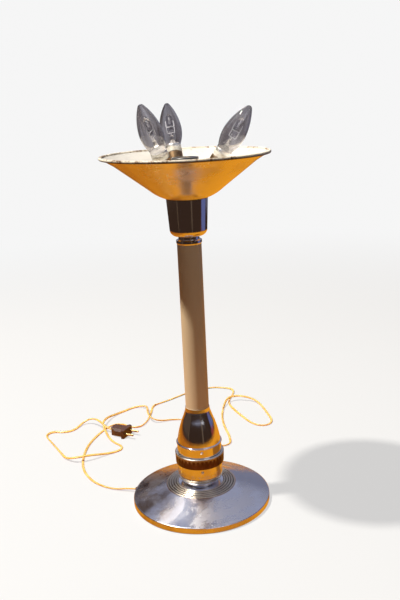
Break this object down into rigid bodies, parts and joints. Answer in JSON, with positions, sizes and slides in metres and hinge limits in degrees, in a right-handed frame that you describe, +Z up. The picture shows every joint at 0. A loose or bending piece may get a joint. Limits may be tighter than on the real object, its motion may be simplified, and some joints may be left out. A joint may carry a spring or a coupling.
{
  "type": "table lamp",
  "caption": "Table lamp with an open chromed bowl shade, tilted candle bulbs in a socket cluster, a painted column, a fluted ring switch in the stem and a round weighted foot with a lead.",
  "frame": {"origin": "centre of the round foot, on the surface the lamp stands on", "axes": "+Z up the column; -Y is the side with the front screws, towards the viewer of the picture; the lead lies behind on +Y"},
  "size_m": [0.4641, 0.6198, 0.6478],
  "materials": {
    "felt": "short green-black felt",
    "iron": "rough cast",
    "chrome": "polished, lightly worn",
    "dark_steel": "darkened, worn on the edges",
    "steel": "plain zinc-plated",
    "bakelite": "dark brown moulded",
    "insulator": "pressed paper board",
    "paint": "ivory enamel, fine specks",
    "porcelain": "glazed ceramic",
    "brass": "dulled",
    "glass": "clear",
    "quartz": "clear inner capsule on a wire frame",
    "cap": "threaded bulb cap and skirt",
    "lid": "satin black",
    "cord": "aged translucent twin lead"
  },
  "bodies": {
    "lamp": {"base_disc": "chrome", "base_felt": "felt", "base_weight": "iron", "bell": "chrome", "bell_screws": "steel", "centre_rod": "steel", "cluster_body": "porcelain", "cluster_lid": "lid", "cluster_nut": "brass", "column_foot_collar": "chrome", "column_top_collar": "chrome", "column_tube": "paint", "foot_nut": "steel", "foot_washer": "steel", "lead_grommet": "bakelite", "lower_hub": "steel", "lower_shell": "chrome", "lower_shell_screws": "steel", "neck_ring": "chrome", "plug_body": "bakelite", "plug_pins": "brass", "plug_screw": "brass", "power_lead": "cord", "shade_bowl": "chrome", "socket_contact_1": "brass", "socket_contact_2": "brass", "socket_contact_3": "brass", "socket_cup": "chrome", "socket_liner_1": "porcelain", "socket_liner_2": "porcelain", "socket_liner_3": "porcelain", "socket_nipple_1": "steel", "socket_nipple_2": "steel", "socket_nipple_3": "steel", "socket_shell_1": "chrome", "socket_shell_2": "chrome", "socket_shell_3": "chrome", "switch_spacer": "insulator", "switch_stator": "insulator", "switch_studs": "brass", "upper_hub": "steel"},
    "switch": {"switch_ring": "dark_steel", "switch_rotor": "insulator", "switch_wiper": "brass"},
    "bulb_1": {"bulb_glass_1": "glass", "bulb_cap_1": "cap", "bulb_capsule_1": "quartz"},
    "bulb_2": {"bulb_glass_2": "glass", "bulb_cap_2": "cap", "bulb_capsule_2": "quartz"},
    "bulb_3": {"bulb_glass_3": "glass", "bulb_cap_3": "cap", "bulb_capsule_3": "quartz"}
  },
  "joints": [
    {"name": "switch_turn", "type": "hinge", "parent": "lamp", "child": "switch", "pos_m": [0, 0, 0.08], "axis": [0, 0, 1], "range_deg": [0, 270]},
    {"name": "bulb_1_out", "type": "slide", "parent": "lamp", "child": "bulb_1", "axis": [0.5389, -0.0999, 0.8364], "range_m": [0, 0.034]},
    {"name": "bulb_2_out", "type": "slide", "parent": "lamp", "child": "bulb_2", "axis": [-0.1036, 0.4716, 0.8757], "range_m": [0, 0.034]},
    {"name": "bulb_3_out", "type": "slide", "parent": "lamp", "child": "bulb_3", "axis": [-0.2764, -0.3716, 0.8863], "range_m": [0, 0.034]}
  ]
}
